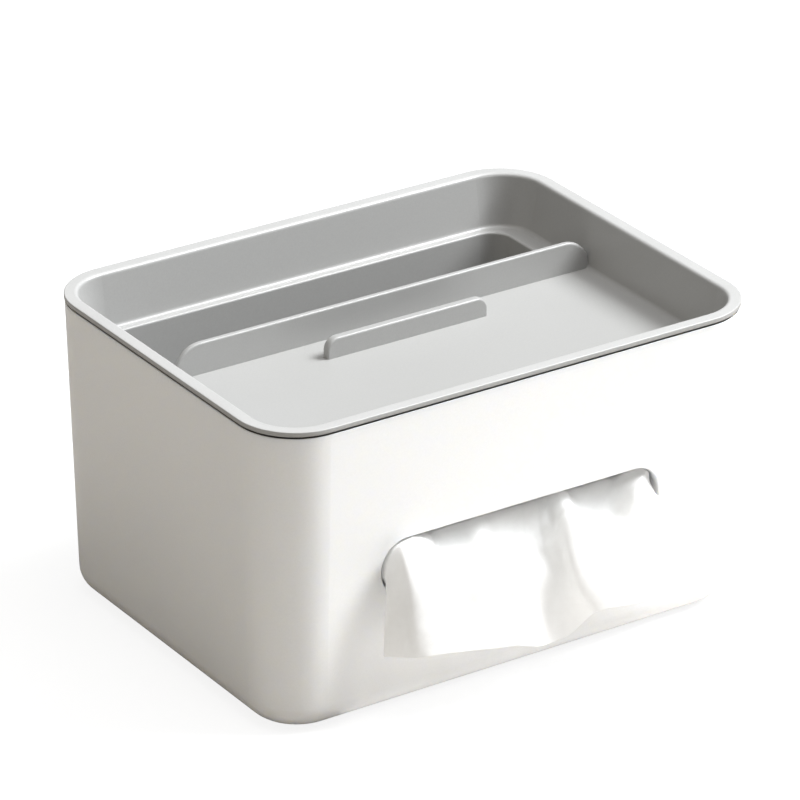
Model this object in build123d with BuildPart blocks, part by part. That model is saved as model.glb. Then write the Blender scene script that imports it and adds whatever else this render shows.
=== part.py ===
from build123d import *
import os

os.makedirs("parts", exist_ok=True)

# Desktop tissue box with a lift-out storage tray, in millimetres.
# Origin: on the surface it stands on, under the middle of the box.
# +X runs along the long side, -Y is the front with the tissue slot, +Z is up.

# ---- driving dimensions -------------------------------------------------
PAD_PROUD = 0.6  # the anti-slip pads stand this far out of the underside

BOX_W = 199.4  # outline of the box at its rim
BOX_D = 150.6
BOX_H = 111.8  # underside to rim
BOX_R = 21.9  # upright corner radius at the rim
LEAN = 0.02683  # outward lean of the walls, mm per mm of height
LEAN_DEG = 1.5369
BASE_FILLET = 9.0
WALL = 2.5
FLOOR = 2.8
GAP_H = 0.6  # shadow gap under the tray's rim: a rebate round the outside of the box's rim
GAP_D = 1.5
GAP_EDGE = 0.35  # crest left along the wall's outer edge, and the drop of the groove behind it
GAP_DROP = 1.3

SLOT_L = 114.0  # tissue slot in the front wall, end to end
SLOT_H = 21.2
SLOT_Z = 53.7  # height of its middle above the underside
SLOT_LIP_T = 1.8  # inward lip round the slot, and how far in it ends
SLOT_LIP_Y = -66.3

PAD_R = 6.0
PAD_T = 1.6
PAD_X = 74.0
PAD_Y = 50.0

LIP_T = 2.0  # tray rim that rests on the box
LIP_OUT = 0.25  # it stands this far out over the box's wall
TRAY_X = 91.3  # half width of the tray's floor, inside
TRAY_Y = 66.9
TRAY_R = 12.9
TRAY_LEAN_DEG = 10.305
TRAY_LEAN = 0.18182
TRAY_WALL = 1.8
TRAY_FLOOR_Z = 94.0  # top of the tray's floor above the underside
TRAY_FLOOR_T = 2.0

WELL_X = 84.0  # rear well: half width at the floor's level
WELL_Y0 = 20.4
WELL_Y1 = 63.9
WELL_R = 8.0
WELL_Z = 14.0  # top of the well's bottom above the underside
WELL_LEAN_DEG = 1.0
WELL_LEAN = 0.017455

DIV_Y = 18.2  # upright divider: front face
DIV_T = 2.2
DIV_X0 = -80.4
DIV_X1 = 91.8
DIV_TOP = 105.7
DIV_R = 10.2

RIB_Y = 4.0  # low phone-stop rib: front face
RIB_T = 3.2
RIB_X0 = -28.0
RIB_X1 = 38.5
RIB_TOP = 101.5
RIB_R = 4.5

STACK_X = 87.0  # folded refill, standing on edge behind the slot
STACK_Y0 = -44.0
STACK_Y1 = 12.0
STACK_H = 84.0

SHEET_T = 1.2  # soft sheet through the slot
SHEET_Z = 58.0  # height of its level run above the underside
SHEET_R = 14.0

# ---- levels -------------------------------------------------------------
Z0 = PAD_PROUD
RIM_Z = Z0 + BOX_H
TOP_Z = RIM_Z + LIP_T
FLOOR_Z = Z0 + TRAY_FLOOR_Z


# ---- white outer box ----------------------------------------------------
base_w = BOX_W - 2 * LEAN * BOX_H
base_d = BOX_D - 2 * LEAN * BOX_H
base_r = BOX_R - LEAN * BOX_H

# cutter for the shadow groove in the rim: its floor falls away towards the inside
with BuildPart() as shadow_groove:
    with BuildSketch(Plane.XY.offset(RIM_Z - GAP_H)):
        RectangleRounded(BOX_W - 2 * GAP_EDGE, BOX_D - 2 * GAP_EDGE, BOX_R - GAP_EDGE)
    with BuildSketch(Plane.XY.offset(RIM_Z - GAP_H - GAP_DROP)):
        RectangleRounded(BOX_W - 2 * GAP_D + 0.2, BOX_D - 2 * GAP_D + 0.2, BOX_R - GAP_D + 0.1)
    loft()
    with BuildSketch(Plane.XY.offset(RIM_Z - GAP_H - GAP_DROP - 1)):
        RectangleRounded(BOX_W - 2 * GAP_D, BOX_D - 2 * GAP_D, BOX_R - GAP_D)
    extrude(amount=GAP_DROP + 2, mode=Mode.SUBTRACT)

with BuildPart() as outer_box:
    with BuildSketch(Plane.XY.offset(Z0)):
        RectangleRounded(base_w, base_d, base_r)
    extrude(amount=BOX_H, taper=-LEAN_DEG)
    fillet(outer_box.faces().sort_by(Axis.Z)[0].edges(), radius=BASE_FILLET)

    # the hollow: the same walls, one wall thickness further in
    grow = LEAN * FLOOR - WALL
    with BuildSketch(Plane.XY.offset(Z0 + FLOOR)):
        RectangleRounded(base_w + 2 * grow, base_d + 2 * grow, base_r + grow)
    extrude(amount=BOX_H - FLOOR, taper=-LEAN_DEG, mode=Mode.SUBTRACT)
    inner_floor = (
        outer_box.faces()
        .filter_by(Plane.XY)
        .filter_by_position(Axis.Z, Z0 + FLOOR - 0.1, Z0 + FLOOR + 0.1)[0]
    )
    fillet(inner_floor.edges(), radius=BASE_FILLET - WALL)

    # rebate round the outside of the rim, which shows as a thin dark line under the tray
    with BuildSketch(Plane.XY.offset(RIM_Z - GAP_H)):
        RectangleRounded(BOX_W + 4, BOX_D + 4, BOX_R + 2)
        RectangleRounded(BOX_W - 2 * GAP_D, BOX_D - 2 * GAP_D, BOX_R - GAP_D, mode=Mode.SUBTRACT)
    extrude(amount=GAP_H + 1, mode=Mode.SUBTRACT)
    add(shadow_groove.part, mode=Mode.SUBTRACT)

    # rim edges, softened inside and at the outer edge of the rebate
    rim = outer_box.faces().sort_by(Axis.Z)[-1]
    fillet(rim.inner_wires()[0].edges(), radius=0.35)
    rebate = (
        outer_box.faces()
        .filter_by(Plane.XY)
        .filter_by_position(Axis.Z, RIM_Z - GAP_H - 0.02, RIM_Z - GAP_H + 0.02)[0]
    )
    fillet(rebate.outer_wire().edges(), radius=0.2)

    # inward lip round the tissue slot, so that the sheet runs over a smooth mouth
    with BuildSketch(Plane.XZ.offset(-SLOT_LIP_Y)):
        with Locations((0, Z0 + SLOT_Z)):
            SlotOverall(SLOT_L + 2 * SLOT_LIP_T, SLOT_H + 2 * SLOT_LIP_T)
    extrude(amount=6.0)

    # tissue slot through the front wall and its lip, with softened edges
    with BuildSketch(Plane.XZ.offset(60)):
        with Locations((0, Z0 + SLOT_Z)):
            SlotOverall(SLOT_L, SLOT_H)
    extrude(amount=30, mode=Mode.SUBTRACT)
    slot_edges = (
        outer_box.edges()
        .filter_by_position(Axis.Y, -76, -72.6)
        .filter_by_position(Axis.Z, Z0 + SLOT_Z - SLOT_H / 2 - 1, Z0 + SLOT_Z + SLOT_H / 2 + 1)
        .filter_by_position(Axis.X, -SLOT_L / 2 - 1, SLOT_L / 2 + 1)
        .filter_by(lambda e: e.bounding_box().size.Y < 1.0)
    )
    fillet(slot_edges, radius=0.5)
    fillet(
        outer_box.edges().filter_by_position(Axis.Y, SLOT_LIP_Y - 0.01, SLOT_LIP_Y + 0.01),
        radius=0.6,
    )

    # shallow sockets for the pads
    with BuildSketch(Plane.XY.offset(Z0)):
        with GridLocations(2 * PAD_X, 2 * PAD_Y, 2, 2):
            Circle(PAD_R + 0.2)
    extrude(amount=PAD_T - PAD_PROUD, mode=Mode.SUBTRACT)

outer_box.part.label = "outer_box"
export_step(outer_box.part, "parts/outer_box.step")


# ---- grey storage tray --------------------------------------------------
basin_h = TOP_Z - FLOOR_Z
under = FLOOR_Z - TRAY_FLOOR_T  # underside of the tray's floor
out_x = TRAY_X + TRAY_WALL - TRAY_LEAN * TRAY_FLOOR_T
out_y = TRAY_Y + TRAY_WALL - TRAY_LEAN * TRAY_FLOOR_T
out_r = TRAY_R + TRAY_WALL - TRAY_LEAN * TRAY_FLOOR_T

well_bottom = Z0 + WELL_Z - TRAY_FLOOR_T
well_mid = (WELL_Y0 + WELL_Y1) / 2
well_half = (WELL_Y1 - WELL_Y0) / 2
in_drop = WELL_LEAN * (FLOOR_Z - (Z0 + WELL_Z))
out_drop = WELL_LEAN * (FLOOR_Z - well_bottom)

with BuildPart() as storage_tray:
    # rim plate
    with BuildSketch(Plane.XY.offset(RIM_Z)):
        RectangleRounded(BOX_W + 2 * LIP_OUT, BOX_D + 2 * LIP_OUT, BOX_R + LIP_OUT)
    extrude(amount=LIP_T)
    # outside of the shallow basin
    with BuildSketch(Plane.XY.offset(under)):
        RectangleRounded(2 * out_x, 2 * out_y, out_r)
    extrude(amount=RIM_Z - under, taper=-TRAY_LEAN_DEG)
    # outside of the rear well
    with BuildSketch(Plane.XY.offset(well_bottom)):
        with Locations((0, well_mid)):
            RectangleRounded(
                2 * (WELL_X + TRAY_WALL - out_drop),
                2 * (well_half + TRAY_WALL - out_drop),
                WELL_R + TRAY_WALL - out_drop,
            )
    extrude(amount=under - well_bottom, taper=-WELL_LEAN_DEG)
    fillet(
        storage_tray.faces().sort_by(Axis.Z)[0].edges(),
        radius=4.0,
    )
    # inside of the basin
    with BuildSketch(Plane.XY.offset(FLOOR_Z)):
        RectangleRounded(2 * TRAY_X, 2 * TRAY_Y, TRAY_R)
    extrude(amount=basin_h, taper=-TRAY_LEAN_DEG, mode=Mode.SUBTRACT)
    tray_floor = (
        storage_tray.faces()
        .filter_by(Plane.XY)
        .filter_by_position(Axis.Z, FLOOR_Z - 0.05, FLOOR_Z + 0.05)[0]
    )
    fillet(tray_floor.edges(), radius=1.8)
    # rim: soft inner roll, small outer edge
    lip_top = storage_tray.faces().filter_by(Plane.XY).sort_by(Axis.Z)[-1]
    inner_loop = lip_top.inner_wires()[0].edges()
    outer_loop = lip_top.outer_wire().edges()
    fillet(inner_loop, radius=1.6)
    fillet(outer_loop, radius=0.4)
    lip_under = (
        storage_tray.faces()
        .filter_by(Plane.XY)
        .filter_by_position(Axis.Z, RIM_Z - 0.05, RIM_Z + 0.05)
        .sort_by(SortBy.AREA)[-1]
    )
    fillet(lip_under.outer_wire().edges(), radius=0.8)
    # inside of the rear well
    with BuildSketch(Plane.XY.offset(Z0 + WELL_Z)):
        with Locations((0, well_mid)):
            RectangleRounded(
                2 * (WELL_X - in_drop), 2 * (well_half - in_drop), WELL_R - in_drop
            )
    extrude(amount=FLOOR_Z - Z0 - WELL_Z, taper=-WELL_LEAN_DEG, mode=Mode.SUBTRACT)
    well_floor = (
        storage_tray.faces()
        .filter_by(Plane.XY)
        .filter_by_position(Axis.Z, Z0 + WELL_Z - 0.05, Z0 + WELL_Z + 0.05)[0]
    )
    fillet(well_floor.edges(), radius=3.0)
    # softened mouth of the well
    mouth = (
        storage_tray.edges()
        .filter_by_position(Axis.Z, FLOOR_Z - 0.02, FLOOR_Z + 0.02)
        .filter_by_position(Axis.Y, WELL_Y0 - 0.5, WELL_Y1 + 0.5)
        .filter_by(lambda e: e.bounding_box().size.Z < 0.01)
        .filter_by(lambda e: abs(e.center().X) < WELL_X + 0.2)
    )
    fillet(mouth, radius=0.8)
    # upright divider along the front of the well
    with BuildSketch(Plane.XZ.offset(-DIV_Y)):
        with BuildLine():
            Polyline(
                (DIV_X0, FLOOR_Z - 1.2),
                (DIV_X1, FLOOR_Z - 1.2),
                (DIV_X1, Z0 + DIV_TOP),
                (DIV_X0, Z0 + DIV_TOP),
                close=True,
            )
        make_face()
        fillet(vertices().group_by(Axis.Y)[-1], radius=DIV_R)
    extrude(amount=-DIV_T)
    # low rib in front of it, the stop for a phone that leans on the divider
    with BuildSketch(Plane.XZ.offset(-RIB_Y)):
        with BuildLine():
            Polyline(
                (RIB_X0, FLOOR_Z - 1.0),
                (RIB_X1, FLOOR_Z - 1.0),
                (RIB_X1, Z0 + RIB_TOP),
                (RIB_X0, Z0 + RIB_TOP),
                close=True,
            )
        make_face()
        fillet(vertices().group_by(Axis.Y)[-1], radius=RIB_R)
    extrude(amount=-RIB_T)
    # rounded upper edges of the divider and the rib
    div_edges = (
        storage_tray.edges()
        .filter_by_position(Axis.Y, DIV_Y - 0.01, DIV_Y + DIV_T + 0.01)
        .filter_by(lambda e: e.bounding_box().size.Y < 0.01)
        .filter_by(lambda e: e.center().Z > FLOOR_Z + 5)
        .filter_by(lambda e: e.bounding_box().max.Z > FLOOR_Z + 11)
    )
    fillet(div_edges, radius=0.7)
    rib_edges = (
        storage_tray.edges()
        .filter_by_position(Axis.Y, RIB_Y - 0.01, RIB_Y + RIB_T + 0.01)
        .filter_by(lambda e: e.bounding_box().size.Y < 0.01)
        .filter_by(lambda e: e.bounding_box().max.Z > FLOOR_Z + 4)
    )
    fillet(rib_edges, radius=0.8)
    # thin fins on the outside of the basin, under the rim, that centre the tray in the box
    fin_z = RIM_Z - 12
    fin_x = BOX_W / 2 - WALL - LEAN * 12 - 0.35
    fin_y = BOX_D / 2 - WALL - LEAN * 12 - 0.35
    skin = 0.8  # the fins start this far behind the basin's inner face
    low_in = TRAY_LEAN * (fin_z - FLOOR_Z) + skin
    top_in = TRAY_LEAN * (RIM_Z - FLOOR_Z) + skin
    for s in (-1, 1):
        for k in (-1, 1):
            with BuildSketch(Plane.XZ.offset(0.8 - 40 * k)):
                with BuildLine():
                    Polyline(
                        (s * (TRAY_X + low_in), fin_z),
                        (s * (fin_x - 1.0), fin_z),
                        (s * fin_x, fin_z + 1.8),
                        (s * fin_x, RIM_Z),
                        (s * (TRAY_X + top_in), RIM_Z),
                        close=True,
                    )
                make_face()
            extrude(amount=-1.6)
            with BuildSketch(Plane.YZ.offset(62 * k - 0.8)):
                with BuildLine():
                    Polyline(
                        (s * (TRAY_Y + low_in), fin_z),
                        (s * (fin_y - 1.0), fin_z),
                        (s * fin_y, fin_z + 1.8),
                        (s * fin_y, RIM_Z),
                        (s * (TRAY_Y + top_in), RIM_Z),
                        close=True,
                    )
                make_face()
            extrude(amount=1.6)

storage_tray.part.label = "storage_tray"
export_step(storage_tray.part, "parts/storage_tray.step")


# ---- anti-slip pads -----------------------------------------------------
with BuildPart() as foot_pads:
    with BuildSketch(Plane.XY):
        with GridLocations(2 * PAD_X, 2 * PAD_Y, 2, 2):
            Circle(PAD_R)
    extrude(amount=PAD_T)
    fillet(
        foot_pads.edges().filter_by(GeomType.CIRCLE).group_by(Axis.Z)[0], radius=0.4
    )

foot_pads.part.label = "foot_pads"
export_step(foot_pads.part, "parts/foot_pads.step")


# ---- folded refill ------------------------------------------------------
with BuildPart() as tissue_stack:
    with BuildSketch(Plane.XY.offset(Z0 + FLOOR)):
        with Locations((0, (STACK_Y0 + STACK_Y1) / 2)):
            Rectangle(2 * STACK_X, STACK_Y1 - STACK_Y0)
    extrude(amount=STACK_H)
    fillet(tissue_stack.edges().filter_by(Axis.X).group_by(Axis.Z)[-1], radius=3.0)
    fillet(tissue_stack.edges().filter_by(Axis.X).group_by(Axis.Z)[0], radius=1.5)

tissue_stack.part.label = "tissue_stack"
export_step(tissue_stack.part, "parts/tissue_stack.step")


# ---- sheet that hangs out of the slot -----------------------------------
run_z = Z0 + SHEET_Z
h = SHEET_T / 2
bend_y = -72.0  # where the level run turns down over the slot
hang_y = bend_y - SHEET_R
bend_z = run_z - SHEET_R
tail_y = STACK_Y0 - 1.2
low_z = Z0 + 10.0

with BuildPart() as tissue_sheet:
    with BuildSketch(Plane.YZ):
        with BuildLine():
            l1 = Line((tail_y, run_z + h), (bend_y, run_z + h))
            a1 = CenterArc((bend_y, bend_z), SHEET_R + h, 90, 90)
            l2 = Line((hang_y - h, bend_z), (hang_y - h - 2.0, low_z))
            l3 = Line((hang_y - h - 2.0, low_z), (hang_y + h - 2.0, low_z))
            l4 = Line((hang_y + h - 2.0, low_z), (hang_y + h, bend_z))
            a2 = CenterArc((bend_y, bend_z), SHEET_R - h, 90, 90)
            l5 = Line((bend_y, run_z - h), (tail_y, run_z - h))
            l6 = Line((tail_y, run_z - h), (tail_y, run_z + h))
        make_face()
    extrude(amount=100, both=True)
    # outline of the sheet as seen from the front
    with BuildSketch(Plane.XZ.offset(30)):
        with BuildLine():
            Polyline(
                (-50.0, Z0 + 70),
                (51.0, Z0 + 70),
                (52.0, Z0 + 50),
                (78.0, Z0 + 30),
                (83.0, Z0 + 22),
                (73.0, Z0 + 17.5),
                (50.0, Z0 + 19.5),
                (24.0, Z0 + 20.5),
                (12.0, Z0 + 16.5),
                (0.0, Z0 + 15.5),
                (-27.0, Z0 + 21.0),
                (-52.0, Z0 + 26.5),
                (-65.0, Z0 + 31.0),
                (-59.0, Z0 + 42.0),
                (-51.0, Z0 + 50.0),
                close=True,
            )
        make_face()
    extrude(amount=80, mode=Mode.INTERSECT)

tissue_sheet.part.label = "tissue_sheet"
export_step(tissue_sheet.part, "parts/tissue_sheet.step")
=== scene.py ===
import math

import bpy
import bmesh
import numpy as np
from mathutils import Matrix, Vector


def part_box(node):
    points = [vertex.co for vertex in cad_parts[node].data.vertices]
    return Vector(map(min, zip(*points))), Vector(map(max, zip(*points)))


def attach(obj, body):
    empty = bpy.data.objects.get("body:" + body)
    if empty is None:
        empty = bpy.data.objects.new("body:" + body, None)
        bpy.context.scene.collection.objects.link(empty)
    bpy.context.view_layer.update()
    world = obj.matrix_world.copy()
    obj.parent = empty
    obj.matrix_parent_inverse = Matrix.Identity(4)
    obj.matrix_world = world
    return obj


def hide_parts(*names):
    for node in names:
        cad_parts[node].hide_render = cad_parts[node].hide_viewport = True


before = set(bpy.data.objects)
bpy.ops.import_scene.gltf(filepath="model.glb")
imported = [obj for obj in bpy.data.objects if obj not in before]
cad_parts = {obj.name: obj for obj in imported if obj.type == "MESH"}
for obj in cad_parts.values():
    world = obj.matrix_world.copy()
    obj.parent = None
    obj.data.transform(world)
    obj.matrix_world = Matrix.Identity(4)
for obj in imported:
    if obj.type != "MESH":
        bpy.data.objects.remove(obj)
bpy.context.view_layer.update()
MM = 0.001


# ---------------------------------------------------------------- node helpers
class Tree:
    """A small wrapper for a material's node tree."""

    def __init__(self, name):
        self.mat = bpy.data.materials.new(name)
        self.mat.use_nodes = True
        self.nt = self.mat.node_tree
        self.nt.nodes.clear()
        self.out = self.nt.nodes.new("ShaderNodeOutputMaterial")

    def node(self, kind, **props):
        n = self.nt.nodes.new(kind)
        for k, v in props.items():
            setattr(n, k, v)
        return n

    def link(self, a, b):
        self.nt.links.new(a, b)

    def put(self, sock, value):
        if isinstance(value, bpy.types.NodeSocket):
            self.link(value, sock)
        else:
            sock.default_value = value

    def coords(self, kind="Object"):
        return self.node("ShaderNodeTexCoord").outputs[kind]

    def math(self, op, a, b=None, c=None, clamp=False):
        n = self.node("ShaderNodeMath", operation=op, use_clamp=clamp)
        self.put(n.inputs[0], a)
        if b is not None:
            self.put(n.inputs[1], b)
        if c is not None:
            self.put(n.inputs[2], c)
        return n.outputs[0]

    def vmath(self, op, a, b=None):
        n = self.node("ShaderNodeVectorMath", operation=op)
        self.put(n.inputs[0], a)
        if b is not None:
            self.put(n.inputs[1], b)
        return n.outputs[0]

    def noise(self, vec, scale, detail=2.0, rough=0.5, distort=0.0, out="Fac"):
        n = self.node("ShaderNodeTexNoise")
        self.put(n.inputs["Vector"], vec)
        n.inputs["Scale"].default_value = scale
        n.inputs["Detail"].default_value = detail
        n.inputs["Roughness"].default_value = rough
        n.inputs["Distortion"].default_value = distort
        return n.outputs[out]

    def voronoi(self, vec, scale, feature="F1", out="Distance", rand=1.0):
        n = self.node("ShaderNodeTexVoronoi", feature=feature)
        self.put(n.inputs["Vector"], vec)
        n.inputs["Scale"].default_value = scale
        n.inputs["Randomness"].default_value = rand
        return n.outputs[out]

    def stretch(self, vec, sx, sy, sz):
        n = self.node("ShaderNodeMapping")
        self.put(n.inputs["Vector"], vec)
        n.inputs["Scale"].default_value = (sx, sy, sz)
        return n.outputs[0]

    def remap(self, v, a, b, c=0.0, d=1.0, smooth=False):
        n = self.node("ShaderNodeMapRange", clamp=True,
                      interpolation_type="SMOOTHSTEP" if smooth else "LINEAR")
        self.put(n.inputs["Value"], v)
        for key, x in (("From Min", a), ("From Max", b), ("To Min", c), ("To Max", d)):
            n.inputs[key].default_value = x
        return n.outputs["Result"]

    def mix(self, fac, a, b, kind="MIX"):
        n = self.node("ShaderNodeMix", data_type="RGBA", blend_type=kind)
        self.put(n.inputs[0], fac)
        self.put(n.inputs[6], a)
        self.put(n.inputs[7], b)
        return n.outputs[2]

    def split(self, vec):
        n = self.node("ShaderNodeSeparateXYZ")
        self.put(n.inputs[0], vec)
        return n.outputs[0], n.outputs[1], n.outputs[2]

    def bump(self, height, strength, distance, normal=None):
        n = self.node("ShaderNodeBump")
        self.put(n.inputs["Height"], height)
        n.inputs["Strength"].default_value = strength
        n.inputs["Distance"].default_value = distance
        if normal is not None:
            self.link(normal, n.inputs["Normal"])
        return n.outputs[0]

    def principled(self, color, rough, normal=None, **sockets):
        n = self.node("ShaderNodeBsdfPrincipled")
        self.put(n.inputs["Base Color"], color)
        self.put(n.inputs["Roughness"], rough)
        if normal is not None:
            self.link(normal, n.inputs["Normal"])
        for key, v in sockets.items():
            n.inputs[key.replace("_", " ")].default_value = v
        self.link(n.outputs[0], self.out.inputs["Surface"])
        return n


# ---------------------------------------------------------------- materials
def white_plastic():
    t = Tree("white_plastic_satin")
    p = t.coords()
    x, y, z = t.split(p)
    # slow drift of tone over a moulded wall, and a little warmth low down
    drift = t.noise(p, 11.0, 2.0)
    base = t.mix(drift, (0.838, 0.836, 0.830, 1), (0.862, 0.861, 0.858, 1))
    low = t.remap(z, 0.001, 0.020, 1.0, 0.0, smooth=True)
    patch = t.remap(t.noise(p, 60.0, 4.0, 0.6), 0.42, 0.72, smooth=True)
    scuff = t.math("MULTIPLY", low, patch)
    base = t.mix(t.math("MULTIPLY", scuff, 0.22), base, (0.70, 0.675, 0.63, 1))
    fleck = t.remap(t.noise(p, 1500.0, 2.0), 0.30, 0.70, 0.985, 1.012)
    fl = t.node("ShaderNodeCombineColor")
    for i in range(3):
        t.link(fleck, fl.inputs[i])
    base = t.mix(1.0, base, fl.outputs[0], "MULTIPLY")
    # painted shade: the floor of the narrow groove that runs round under the tray's lip is coloured dark grey to stand
    # for the shadow there
    qx = t.math("MAXIMUM", t.math("SUBTRACT", t.math("ABSOLUTE", x), 0.0778), 0.0)
    qy = t.math("MAXIMUM", t.math("SUBTRACT", t.math("ABSOLUTE", y), 0.0534), 0.0)
    inset = t.math("SUBTRACT", 0.0219, t.math("SQRT", t.math("ADD", t.math("MULTIPLY", qx, qx), t.math("MULTIPLY", qy, qy))))
    groove_shade = t.math("MULTIPLY", t.remap(inset, 0.00018, 0.00045), t.remap(inset, 0.0016, 0.0019, 1.0, 0.0))
    groove_shade = t.math("MULTIPLY", groove_shade, t.remap(z, 0.1106, 0.1111))
    base = t.mix(groove_shade, base, (0.115, 0.112, 0.105, 1))
    # satin, with wiped streaks and duller scuffs near the base edge
    wipe = t.noise(t.stretch(p, 18.0, 18.0, 140.0), 1.0, 3.0, 0.6)
    rough = t.remap(wipe, 0.25, 0.75, 0.33, 0.42)
    rough = t.math("ADD", rough, t.math("MULTIPLY", scuff, 0.16))
    grain = t.noise(p, 2600.0, 2.0, 0.55)
    wave = t.noise(p, 34.0, 1.0)
    n1 = t.bump(wave, 0.10, 0.0009)
    n2 = t.bump(grain, 0.10, 0.00006, n1)
    t.principled(base, rough, n2, Specular_IOR_Level=0.42, Subsurface_Weight=0.7,
                 Subsurface_Radius=(0.0027, 0.0025, 0.0020), Subsurface_Scale=1.0)
    return t.mat


def grey_plastic():
    t = Tree("grey_plastic_satin")
    p = t.coords()
    x, y, z = t.split(p)
    drift = t.noise(p, 14.0, 2.0)
    base = t.mix(drift, (0.347, 0.345, 0.338, 1), (0.369, 0.367, 0.361, 1))
    # painted light: the upward-facing top of the lip is coloured lighter, in soft patches, so that it reads brighter
    lip_top_painted_light = t.math("MULTIPLY", t.remap(z, 0.1126, 0.1140, smooth=True), t.remap(t.noise(p, 42.0, 3.0), 0.2, 0.6, 0.75, 1.0))
    up = t.split(t.node("ShaderNodeNewGeometry").outputs["Normal"])[2]
    lip_top_painted_light = t.math("MULTIPLY", lip_top_painted_light, t.remap(up, 0.45, 0.85, smooth=True))
    base = t.mix(lip_top_painted_light, base, (0.432, 0.430, 0.424, 1))
    fleck = t.remap(t.noise(p, 1700.0, 2.0), 0.30, 0.70, 0.970, 1.022)
    fl = t.node("ShaderNodeCombineColor")
    for i in range(3):
        t.link(fleck, fl.inputs[i])
    base = t.mix(1.0, base, fl.outputs[0], "MULTIPLY")
    # fine hairline rubs on the faces that things slide over
    hair_a = t.noise(t.stretch(p, 60.0, 1500.0, 900.0), 1.0, 2.0, 0.6)
    hair_b = t.noise(t.stretch(p, 1300.0, 90.0, 900.0), 1.0, 2.0, 0.6)
    hair = t.math("MAXIMUM", t.remap(hair_a, 0.60, 0.78, smooth=True),
                  t.remap(hair_b, 0.62, 0.80, smooth=True))
    zone = t.remap(t.noise(p, 28.0, 2.0), 0.38, 0.66, smooth=True)
    hair = t.math("MULTIPLY", hair, zone)
    rough = t.remap(t.noise(p, 46.0, 4.0, 0.6), 0.25, 0.75, 0.29, 0.38)
    rough = t.math("ADD", rough, t.math("MULTIPLY", hair, 0.10))
    grain = t.noise(p, 2400.0, 2.0, 0.55)
    n1 = t.bump(t.noise(p, 38.0, 1.0), 0.08, 0.0008)
    n2 = t.bump(grain, 0.14, 0.00006, n1)
    n3 = t.bump(hair, 0.05, 0.00003, n2)
    t.principled(base, rough, n3, Specular_IOR_Level=0.45)
    return t.mat


def silicone():
    t = Tree("pad_silicone")
    p = t.coords()
    base = t.mix(t.noise(p, 220.0, 3.0), (0.60, 0.60, 0.585, 1), (0.70, 0.70, 0.69, 1))
    dust = t.remap(t.noise(p, 900.0, 3.0, 0.65), 0.55, 0.75, smooth=True)
    base = t.mix(t.math("MULTIPLY", dust, 0.30), base, (0.48, 0.465, 0.43, 1))
    rough = t.remap(dust, 0.0, 1.0, 0.46, 0.66)
    n1 = t.bump(t.noise(p, 1600.0, 2.0), 0.20, 0.00008)
    t.principled(base, rough, n1, Subsurface_Weight=0.35,
                 Subsurface_Radius=(0.002, 0.002, 0.0018), Subsurface_Scale=1.0)
    return t.mat


def tissue_paper(name, tone, through):
    """Soft white two-ply paper: cloudy fibre, fine crepe lines across the pull, a felted nap, and light coming through."""
    t = Tree(name)
    p = t.coords()
    uv = t.coords("UV")
    cloud = t.noise(p, 420.0, 3.0, 0.6)
    base = t.mix(t.remap(cloud, 0.3, 0.7), tuple(0.972 * c for c in tone) + (1,), tuple(tone) + (1,))
    fibre = t.noise(t.stretch(p, 1.0, 1.0, 2.2), 3800.0, 3.0, 0.6)
    crepe = t.noise(t.stretch(uv, 260.0, 2300.0, 1.0), 1.0, 2.0, 0.6, 0.25)
    pucker = t.noise(uv, 330.0, 2.0, 0.5)
    n1 = t.bump(pucker, 0.35, 0.00022)
    n2 = t.bump(crepe, 0.40, 0.00007, n1)
    n3 = t.bump(fibre, 0.35, 0.00005, n2)
    rough = t.remap(cloud, 0.3, 0.7, 0.86, 0.96)
    face = t.principled(base, rough, n3, Specular_IOR_Level=0.12, Sheen_Weight=0.10, Sheen_Roughness=0.6)
    glow = t.node("ShaderNodeBsdfTranslucent")
    t.link(base, glow.inputs["Color"])
    t.link(n1, glow.inputs["Normal"])
    both = t.node("ShaderNodeMixShader")
    both.inputs[0].default_value = through
    t.link(face.outputs[0], both.inputs[1])
    t.link(glow.outputs[0], both.inputs[2])
    t.link(both.outputs[0], t.out.inputs["Surface"])
    return t.mat


def floor_paper(name, tone, glow=0.0):
    t = Tree(name)
    p = t.coords()
    base = t.mix(t.noise(p, 3.0, 3.0), tuple(tone) + (1,), tuple(c + 0.01 for c in tone) + (1,))
    t.principled(base, 0.75, Specular_IOR_Level=0.0, Emission_Color=(1, 1, 1, 1), Emission_Strength=glow)
    return t.mat


def dress(node, mat):
    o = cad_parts[node]
    o.data.materials.clear()
    o.data.materials.append(mat)


dress("outer_box", white_plastic())
dress("storage_tray", grey_plastic())
dress("foot_pads", silicone())


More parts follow.
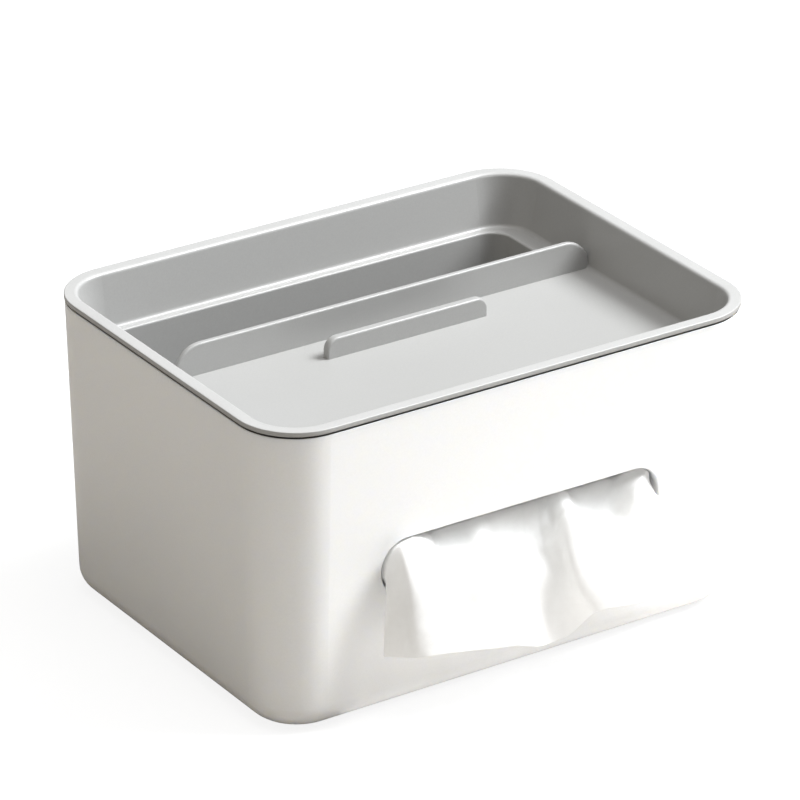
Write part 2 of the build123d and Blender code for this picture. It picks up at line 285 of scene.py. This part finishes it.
# ---------------------------------------------------------------- the sheet that hangs out of the slot
# Guide columns across the sheet, in millimetres. First where each crosses the slot (x, z), how far its pleat reaches
# back, how far it flares sideways there, and the share of the way that it rises to the slot's upper edge; then four
# points outside it (x, y, z) down to the hem.
COLUMNS = (
    ((-53.7, 47.4, 4.0, 0.0, 0.0), (-55.4, -75.6, 47.2), (-58.1, -77.4, 42.8), (-59.6, -79.2, 35.4), (-60.3, -80.4, 26.8)),
    ((-55.4, 49.8, 4.0, 0.0, 0.0), (-56.5, -75.2, 49.9), (-58.6, -79.0, 44.8), (-59.7, -81.2, 36.5), (-60.1, -82.2, 27.5)),
    ((-56.3, 53.0, 4.0, 0.0, 0.0), (-56.7, -74.9, 53.5), (-58.3, -80.6, 46.9), (-58.9, -83.0, 37.2), (-58.8, -84.0, 27.7)),
    ((-55.6, 58.1, 4.0, 0.0, 0.1), (-55.6, -74.9, 58.5), (-57.3, -82.8, 49.5), (-57.2, -85.2, 38.5), (-56.8, -86.2, 27.9)),
    ((-53.0, 62.0, 3.0, 0.0, 0.4), (-53.4, -76.0, 62.7), (-55.5, -84.6, 52.0), (-55.4, -87.0, 39.9), (-54.6, -88.0, 27.9)),
    ((-49.6, 63.9, 2.2, 0.0, 1.0), (-52.0, -77.9, 65.1), (-54.2, -86.2, 54.0), (-54.1, -88.6, 41.3), (-53.1, -89.6, 28.2)),
    ((-46.6, 64.3, 2.2, 0.0, 1.0), (-49.9, -78.0, 65.5), (-52.4, -86.8, 54.5), (-52.1, -89.2, 41.4), (-51.0, -90.4, 28.3)),
    ((-42.8, 64.0, 2.4, 0.0, 1.0), (-46.4, -78.0, 65.2), (-47.8, -86.9, 54.0), (-47.1, -89.5, 41.0), (-45.9, -91.2, 27.9)),
    ((-38.6, 60.8, 3.0, 0.0, 1.0), (-42.4, -78.4, 62.8), (-42.8, -86.8, 53.1), (-42.2, -89.7, 40.3), (-41.0, -91.7, 27.3)),
    ((-31.6, 52.0, 4.8, 0.0, 1.0), (-35.3, -79.2, 55.5), (-34.1, -86.5, 50.1), (-33.3, -89.6, 39.9), (-32.3, -92.0, 25.9)),
    ((-24.0, 52.6, 4.8, 0.0, 1.0), (-27.7, -79.4, 55.1), (-28.7, -86.9, 51.0), (-28.3, -90.0, 40.1), (-27.3, -92.4, 25.1)),
    ((-17.4, 56.4, 3.9, 0.0, 1.0), (-21.0, -79.6, 57.9), (-22.9, -87.2, 52.1), (-22.3, -90.2, 39.6), (-21.7, -92.6, 24.1)),
    ((-10.6, 51.4, 5.0, 0.0, 1.0), (-14.6, -79.8, 53.1), (-16.1, -87.4, 49.5), (-15.9, -90.4, 38.2), (-14.8, -92.7, 22.8)),
    ((-3.8, 48.6, 5.5, 0.0, 1.0), (-7.7, -80.0, 51.1), (-10.7, -87.4, 48.3), (-11.1, -90.2, 36.8), (-7.5, -92.2, 20.3)),
    ((1.6, 47.4, 5.9, 0.0, 1.0), (-0.9, -78.8, 47.7), (-4.9, -84.4, 46.1), (-5.5, -86.4, 33.8), (-1.3, -88.2, 17.0)),
    ((5.8, 47.0, 6.0, 0.0, 1.0), (3.8, -77.5, 44.8), (1.7, -80.6, 43.0), (2.5, -81.6, 28.3), (6.7, -82.4, 13.3)),
    ((9.4, 48.2, 5.8, 0.0, 1.0), (7.7, -77.2, 45.9), (7.3, -80.2, 42.0), (8.9, -81.6, 27.2), (14.2, -82.2, 14.0)),
    ((12.4, 52.2, 5.0, 0.0, 1.0), (10.5, -77.7, 51.6), (10.9, -82.2, 43.0), (13.3, -84.4, 29.8), (19.2, -85.0, 19.9)),
    ((15.6, 56.6, 3.9, 0.0, 1.0), (13.1, -78.3, 57.6), (11.9, -85.6, 46.8), (14.0, -88.8, 35.8), (20.5, -90.0, 24.5)),
    ((19.8, 58.6, 3.6, 0.0, 1.0), (17.7, -78.8, 59.8), (17.6, -86.4, 47.5), (22.6, -89.6, 35.6), (29.6, -90.8, 24.0)),
    ((25.4, 51.2, 6.0, 0.0, 1.0), (23.3, -79.2, 54.0), (23.8, -85.8, 45.8), (29.4, -89.0, 34.5), (36.4, -90.2, 23.0)),
    ((32.6, 47.2, 7.0, 0.0, 1.0), (30.8, -79.4, 48.8), (32.3, -85.2, 43.6), (37.8, -88.4, 33.0), (44.9, -89.5, 21.9)),
    ((38.6, 49.2, 6.4, 0.4, 1.0), (37.7, -79.2, 49.1), (39.6, -85.0, 42.6), (45.9, -87.8, 31.6), (53.3, -88.6, 20.7)),
    ((43.4, 56.4, 4.4, 1.8, 1.0), (43.2, -78.3, 55.4), (44.9, -84.6, 43.6), (52.1, -87.4, 30.8), (59.5, -88.2, 20.1)),
    ((47.4, 59.8, 3.4, 4.8, 1.0), (47.9, -77.2, 58.0), (49.8, -84.2, 44.0), (57.5, -87.0, 30.3), (65.0, -87.8, 19.4)),
    ((50.9, 57.0, 3.2, 4.2, 0.9), (52.2, -76.4, 55.9), (58.7, -82.6, 41.4), (67.4, -85.8, 28.5), (74.6, -87.0, 18.8)),
    ((55.3, 53.2, 2.6, 1.0, 0.5), (56.2, -75.9, 52.5), (64.6, -81.0, 40.4), (72.6, -84.4, 31.8), (82.4, -86.2, 23.3)),
)
SLOT_Z, SLOT_HALF, SLOT_R = 54.3, 46.4, 10.6
FACE_Y, FACE_TOP, LEAN = -75.3, 112.4, 0.02683
SLOT_Y = -74.3


def hermite(keys, values, at):
    """A smooth curve through values at keys."""
    k = np.asarray(keys, float)
    v = np.asarray(values, float).reshape(len(k), -1)
    at = np.asarray(at, float)
    h = np.diff(k)[:, None]
    d = np.diff(v, axis=0) / h
    m = np.zeros_like(v)
    m[1:-1] = (d[:-1] * h[1:] + d[1:] * h[:-1]) / (h[:-1] + h[1:])
    m[0], m[-1] = d[0], d[-1]
    i = np.clip(np.searchsorted(k, at, side="right") - 1, 0, len(k) - 2)
    w = (k[i + 1] - k[i])[:, None]
    t = (at - k[i])[:, None] / w
    return (v[i] * (1 + 2 * t) * (1 - t) ** 2 + m[i] * w * t * (1 - t) ** 2
            + v[i + 1] * t * t * (3 - 2 * t) + m[i + 1] * w * t * t * (t - 1))


def ripple(u, v, seed):
    """Smooth noise from -1 to 1."""
    table = np.random.RandomState(seed).rand(101, 97) * 2 - 1
    iu, iv = np.floor(u).astype(int), np.floor(v).astype(int)
    fu, fv = u - iu, v - iv
    fu = fu ** 3 * (fu * (fu * 6 - 15) + 10)
    fv = fv ** 3 * (fv * (fv * 6 - 15) + 10)
    a = table[iu % 101, iv % 97] * (1 - fu) + table[(iu + 1) % 101, iv % 97] * fu
    b = table[iu % 101, (iv + 1) % 97] * (1 - fu) + table[(iu + 1) % 101, (iv + 1) % 97] * fu
    return a * (1 - fv) + b * fv


def resample(path, count):
    """Points at equal steps along a path."""
    d = np.r_[0, np.cumsum(np.linalg.norm(np.diff(path, axis=0), axis=1))]
    at = np.linspace(0, d[-1], count)
    return np.stack([np.interp(at, d, path[:, k]) for k in range(3)], axis=1), d[-1]


def normals_of(grid):
    a = np.gradient(grid, axis=0)
    b = np.gradient(grid, axis=1)
    n = np.cross(a, b)
    return n / (np.linalg.norm(n, axis=2, keepdims=True) + 1e-12)


def clear_of_box(grid):
    """Keeps the sheet in front of the front wall, and within the slot where it passes the wall."""
    cx = np.clip(grid[..., 0], -SLOT_HALF, SLOT_HALF)
    dx, dz = grid[..., 0] - cx, grid[..., 2] - SLOT_Z
    r = np.sqrt(dx * dx + dz * dz) + 1e-9
    # where it must fit through the slot as it is pulled out
    through = grid[..., 1] > -74.6
    lim = SLOT_R - 0.55
    f = np.where(through & (r > lim), lim / r, 1.0)
    grid[..., 0] = cx + dx * f
    grid[..., 2] = SLOT_Z + dz * f
    face = FACE_Y + LEAN * (FACE_TOP - grid[..., 2]) - 0.40
    out = (grid[..., 1] < -73.0) & (r > lim) & (grid[..., 1] > face)
    grid[..., 1] = np.where(out, face, grid[..., 1])
    return grid


def sheet_grid(n, m_in, m_out):
    """The sheet as a grid of points (mm), with its flat coordinates across and along."""
    cols = [np.array([(c[0][0], SLOT_Y, c[0][1])] + list(c[1:]), float) for c in COLUMNS]
    pleat = [c[0][2:] for c in COLUMNS]
    gaps = [np.linalg.norm(cols[i + 1] - cols[i], axis=1).mean() for i in range(len(cols) - 1)]
    key = np.r_[0, np.cumsum(gaps)]
    s = np.linspace(0, key[-1], n)
    outside, inside, out_len, in_len = [], [], [], []
    for i, c in enumerate(cols):
        k = np.r_[-3.0, 0, np.cumsum(np.linalg.norm(np.diff(c, axis=0), axis=1))]
        path = hermite(k, np.vstack([c[0] + (0, 3.0, 0), c]), np.linspace(0, k[-1], 240))
        p, length = resample(path, m_out + 1)
        outside.append(p)
        out_len.append(length)
        # back to the refill: the pleats open, then the end lies against its front
        u = i / (len(cols) - 1)
        x0, z0 = c[0][0], c[0][2]
        x1, z1 = -50.0 + 101.0 * u, 54.0 + 0.40 * (z0 - 54.0)
        # it bunches up against the top of the slot before it goes on
        zt = SLOT_Z + math.sqrt(max(0.0, (SLOT_R - 0.9) ** 2 - max(0.0, abs(x0) - SLOT_HALF) ** 2))
        dp, dx, share = pleat[i]
        # lower the further back its pleat stands, so that a thin dark gap is left under the slot's upper edge
        if dx < 2.0:
            zt = min(zt, SLOT_Z + SLOT_R + 0.35 - 0.577 * dp)
        zt = z0 + share * (zt - z0)
        rise = zt - z0
        back = np.array([(x0, SLOT_Y, z0), (x0 * 0.998 + 0.40 * dx, SLOT_Y + 0.40 * dp, z0 + 0.12 * rise),
                         (x0 * 0.996 + 0.75 * dx, SLOT_Y + 0.72 * dp, z0 + 0.45 * rise), (x0 * 0.992 + dx, SLOT_Y + dp, zt - 0.2),
                         (x0 * 0.96 + dx, SLOT_Y + dp + 3.5, zt - 1.0 - 1.6 * share),
                         (x0 * 0.6 + x1 * 0.4, -59.5, zt * 0.5 + z1 * 0.5),
                         (x1, -50.5, z1), (x1 * 1.01, -47.5, z1 + 0.3), (x1 * 1.02, -45.6, z1 + 1.5),
                         (x1 * 1.03, -44.75, z1 + 3.4), (x1 * 1.03, -44.62, z1 + 6.0)])
        k = np.r_[0, np.cumsum(np.linalg.norm(np.diff(back, axis=0), axis=1))]
        p, length = resample(hermite(k, back, np.linspace(0, k[-1], 240)), m_in + 1)
        inside.append(p[::-1])
        in_len.append(length)
    out = hermite(key, np.array(outside).reshape(len(cols), -1), s).reshape(n, m_out + 1, 3)
    inn = hermite(key, np.array(inside).reshape(len(cols), -1), s).reshape(n, m_in + 1, 3)
    lo, li = hermite(key, out_len, s)[:, 0], hermite(key, in_len, s)[:, 0]
    grid = np.concatenate([inn[:, :-1], out], axis=1)
    t = np.concatenate([-li[:, None] * np.linspace(1, 0, m_in + 1)[None, :-1],
                        lo[:, None] * np.linspace(0, 1, m_out + 1)[None]], axis=1)
    for _ in range(8):
        lap = np.zeros_like(grid)
        lap[1:-1] += grid[2:] + grid[:-2] - 2 * grid[1:-1]
        lap[:, 1:-1] += grid[:, 2:] + grid[:, :-2] - 2 * grid[:, 1:-1]
        grid = grid + 0.22 * lap
    return grid, np.repeat(s[:, None], grid.shape[1], 1), t, lo


def wrinkled(grid, s, t, lo):
    """Gathers that run out of the slot, soft creases, and a hem that flutters."""
    far = np.clip(t, 0, None)
    near = np.exp(-(far / 15.0) ** 2)
    drift = 1.6 * ripple(s / 26, t / 24, 11)
    h = ripple((s + drift) / 4.4, t / 40 + 5, 12) * (0.05 + 0.28 * near)
    h += ripple((s + drift) / 9.0, t / 55 + 9, 13) * (0.10 + 0.36 * near)
    a = (0.83 * s + 0.56 * t) / 15.0
    b = (0.83 * t - 0.56 * s) / 24.0
    crease = 1.0 - np.abs(ripple(a, b, 14))
    crease2 = 1.0 - np.abs(ripple((0.70 * s - 0.71 * t) / 19.0, (0.70 * t + 0.71 * s) / 27.0, 15))
    h += 0.07 * (crease ** 3 - 0.25) - 0.06 * (crease2 ** 3 - 0.25)
    end = np.clip((far / lo[:, None] - 0.62) / 0.38, 0, 1) ** 2
    h += end * (0.45 * ripple(s / 11.0, t / 80, 16) + 0.12 * ripple(s / 4.0, t / 30, 17))
    still = np.clip((-t - 28.0) / 4.0, 0, 1)
    h *= 1.0 - still
    return grid + normals_of(grid) * h[..., None]


def grid_object(name, grid, u, v, thick, mat):
    """A quad mesh of a grid (mm), with u, v in metres as its UV map, made thin and solid."""
    n, m = grid.shape[:2]
    me = bpy.data.meshes.new(name)
    idx = np.arange(n * m).reshape(n, m)
    quads = np.stack([idx[:-1, :-1], idx[1:, :-1], idx[1:, 1:], idx[:-1, 1:]], axis=-1).reshape(-1, 4)
    me.from_pydata((grid.reshape(-1, 3) * MM).tolist(), [], quads.tolist())
    uv = me.uv_layers.new(name="flat")
    flat = np.stack([u, v], axis=-1).reshape(-1, 2) * MM
    uv.data.foreach_set("uv", flat[quads.reshape(-1)].astype(np.float32).reshape(-1))
    me.polygons.foreach_set("use_smooth", np.ones(len(me.polygons), dtype=bool))
    me.materials.append(mat)
    me.update()
    o = bpy.data.objects.new(name, me)
    bpy.context.scene.collection.objects.link(o)
    sol = o.modifiers.new("ply", "SOLIDIFY")
    sol.thickness = thick * MM
    sol.offset = 0.0
    sol.use_even_offset = False
    return o


def make_sheet():
    grid, s, t, lo = sheet_grid(261, 60, 100)
    grid = clear_of_box(wrinkled(clear_of_box(grid), s, t, lo))
    o = grid_object("tissue", grid, s, t, 0.13, tissue_paper("tissue_soft_paper", (0.985, 0.985, 0.982), 0.45))
    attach(o, "tissue")
    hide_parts("tissue_sheet")
    return o


# ---------------------------------------------------------------- the folded refill behind it
def make_refill():
    """One long strip, folded to and fro: leaves on edge, with round folds along the top and the bottom."""
    lo, hi = (np.array(c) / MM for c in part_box("tissue_stack"))
    leaves, thick = 40, 0.50
    pitch = (hi[1] - lo[1] - thick - 0.5) / (leaves - 1)
    rng = np.random.RandomState(21)
    path, leaf = [], []
    for k in range(leaves):
        y = lo[1] + 0.25 + thick / 2 + pitch * k
        z0 = lo[2] + thick / 2 + pitch / 2 + 0.25 + 0.9 * rng.rand()
        z1 = hi[2] - thick / 2 - pitch / 2 - 0.25 - 1.3 * rng.rand()
        # each leaf starts where the fold before it ends
        first, last = (z0, z1) if k % 2 == 0 else (z1, z0)
        zs = np.linspace(zs[-1] if k else first, last, 9)
        for z in zs:
            path.append((y, z))
            leaf.append(k)
        if k < leaves - 1:
            sign = 1 if k % 2 == 0 else -1
            for a in np.linspace(0, np.pi, 7)[1:-1]:
                path.append((y + pitch / 2 * (1 - np.cos(a)), zs[-1] + sign * pitch / 2 * np.sin(a)))
                leaf.append(k + a / np.pi)
    path, leaf = np.array(path), np.array(leaf)
    step = np.r_[0, np.cumsum(np.linalg.norm(np.diff(path, axis=0), axis=1))]
    n = 61
    f = np.linspace(-1, 1, n)
    half = (hi[0] - lo[0]) / 2 - 0.5 - 0.9 * rng.rand(leaves)
    mid = 0.25 * (rng.rand(leaves) - 0.5)
    k = np.clip(np.round(leaf).astype(int), 0, leaves - 1)
    grid = np.zeros((n, len(path), 3))
    grid[..., 0] = f[:, None] * np.interp(leaf, np.arange(leaves), half)[None] + np.interp(leaf, np.arange(leaves), mid)[None]
    grid[..., 1] = path[None, :, 0]
    grid[..., 2] = path[None, :, 1]
    # leaves lean and billow together, so that they never cross
    x, z = grid[..., 0], grid[..., 2]
    inner = np.clip(np.minimum(leaf, leaves - 1 - leaf) / 3.0, 0, 1)[None]
    grid[..., 1] += inner * (0.50 * ripple(x / 34 + 7, z / 40 + leaf[None] / 14, 22) + 0.16 * ripple(x / 13 + 3, z / 30 + leaf[None] / 11, 23))
    top = np.clip((z - (hi[2] - 8)) / 8, 0, 1)
    low = np.clip(((lo[2] + 8) - z) / 8, 0, 1)
    wav = 0.5 * ripple(x / 24 + 1, np.repeat(leaf[None] * 0.3, n, 0), 24) - 0.35
    grid[..., 2] += top * wav - low * wav * 0.4
    grid[..., 2] = np.clip(grid[..., 2], lo[2] + thick / 2 + 0.1, hi[2] - thick / 2 - 0.1)
    o = grid_object("refill", grid, np.repeat(f[:, None] * 87.0, len(path), 1), np.repeat(step[None], n, 0), thick,
                    tissue_paper("refill_soft_paper", (0.900, 0.900, 0.892), 0.20))
    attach(o, "box")
    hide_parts("tissue_stack")
    return o


make_sheet()
make_refill()


# ---------------------------------------------------------------- stage, lights and camera
def stage_mesh(name, bm, mat):
    me = bpy.data.meshes.new(name)
    bm.to_mesh(me)
    bm.free()
    me.materials.append(mat)
    o = bpy.data.objects.new(name, me)
    bpy.context.scene.collection.objects.link(o)
    return o


def make_floor():
    # the pale floor that the camera sees, and the table top that lights the object from below
    bm = bmesh.new()
    bmesh.ops.create_grid(bm, x_segments=8, y_segments=8, size=7.0)
    o = stage_mesh("floor", bm, floor_paper("floor_paper", (0.20, 0.20, 0.20), 0.855))
    o.location = (0, 0, -0.0001)
    o.visible_diffuse = o.visible_glossy = o.visible_transmission = o.visible_shadow = False
    bm = bmesh.new()
    bmesh.ops.create_grid(bm, x_segments=8, y_segments=8, size=2.5)
    o = stage_mesh("table", bm, floor_paper("table_top", (0.385, 0.362, 0.332)))
    o.location = (0, 0, -0.0004)
    o.visible_camera = False
    bm = bmesh.new()
    bmesh.ops.create_uvsphere(bm, u_segments=32, v_segments=16, radius=6.5)
    o = stage_mesh("backdrop", bm, floor_paper("backdrop_paper", (0.2, 0.2, 0.2), 1.0))
    o.visible_diffuse = o.visible_glossy = o.visible_transmission = o.visible_shadow = False


def area_light(name, place, aim, size, power, color=(1, 1, 1)):
    d = bpy.data.lights.new(name, "AREA")
    d.shape = "RECTANGLE"
    d.size, d.size_y = size
    d.energy = power
    d.color = color
    o = bpy.data.objects.new(name, d)
    bpy.context.scene.collection.objects.link(o)
    o.location = place
    o.rotation_euler = (Vector(place) - Vector(aim)).to_track_quat("Z", "Y").to_euler()
    return o


def make_lights():
    w = bpy.data.worlds.new("studio")
    bpy.context.scene.world = w
    w.use_nodes = True
    w.node_tree.nodes["Background"].inputs[0].default_value = (0.985, 0.992, 1.0, 1)
    w.node_tree.nodes["Background"].inputs[1].default_value = 0.289
    mid = Vector((0, 0, 0.06))

    def far(az, el, d):
        a, e = math.radians(az), math.radians(el)
        return mid + d * Vector((math.sin(a) * math.cos(e), -math.cos(a) * math.cos(e), math.sin(e)))

    area_light("key", far(66, 48, 3.0), mid, (1.26, 1.26), 161.0, (0.962, 0.984, 1.0))
    area_light("soft", far(32, 78, 1.75), mid, (1.45, 1.3), 18.2)
    area_light("side", far(-85, 30, 2.0), mid, (1.4, 0.8), 3.3, (1.0, 0.85, 0.58))
    # light that comes up from the surface just in front of the object
    low = Vector((0.165, -0.1845, 0.0004))
    o = area_light("low", low, low + Vector((0, 0, 1)), (0.47, 0.231), 0.230)
    o.visible_camera = False


def make_camera():
    az, el, roll = math.radians(-33.652), math.radians(25.663), math.radians(0.222)
    back = Vector((math.sin(az) * math.cos(el), -math.cos(az) * math.cos(el), math.sin(el)))
    right = Vector((0, 0, 1)).cross(back).normalized()
    up = back.cross(right)
    r = right * math.cos(roll) + up * math.sin(roll)
    u = up * math.cos(roll) - right * math.sin(roll)
    d = bpy.data.cameras.new("camera")
    d.sensor_width = 36.0
    d.lens = 36.0 * 5372.15 / 800.0
    d.clip_start, d.clip_end = 0.05, 50.0
    o = bpy.data.objects.new("camera", d)
    bpy.context.scene.collection.objects.link(o)
    place = Vector((-0.9317, -1.3983, 0.8810))
    o.matrix_world = Matrix((
        (r.x, u.x, back.x, place.x),
        (r.y, u.y, back.y, place.y),
        (r.z, u.z, back.z, place.z),
        (0, 0, 0, 1)))
    bpy.context.scene.camera = o


make_floor()
make_lights()
make_camera()
bpy.context.scene.view_settings.view_transform = "Standard"
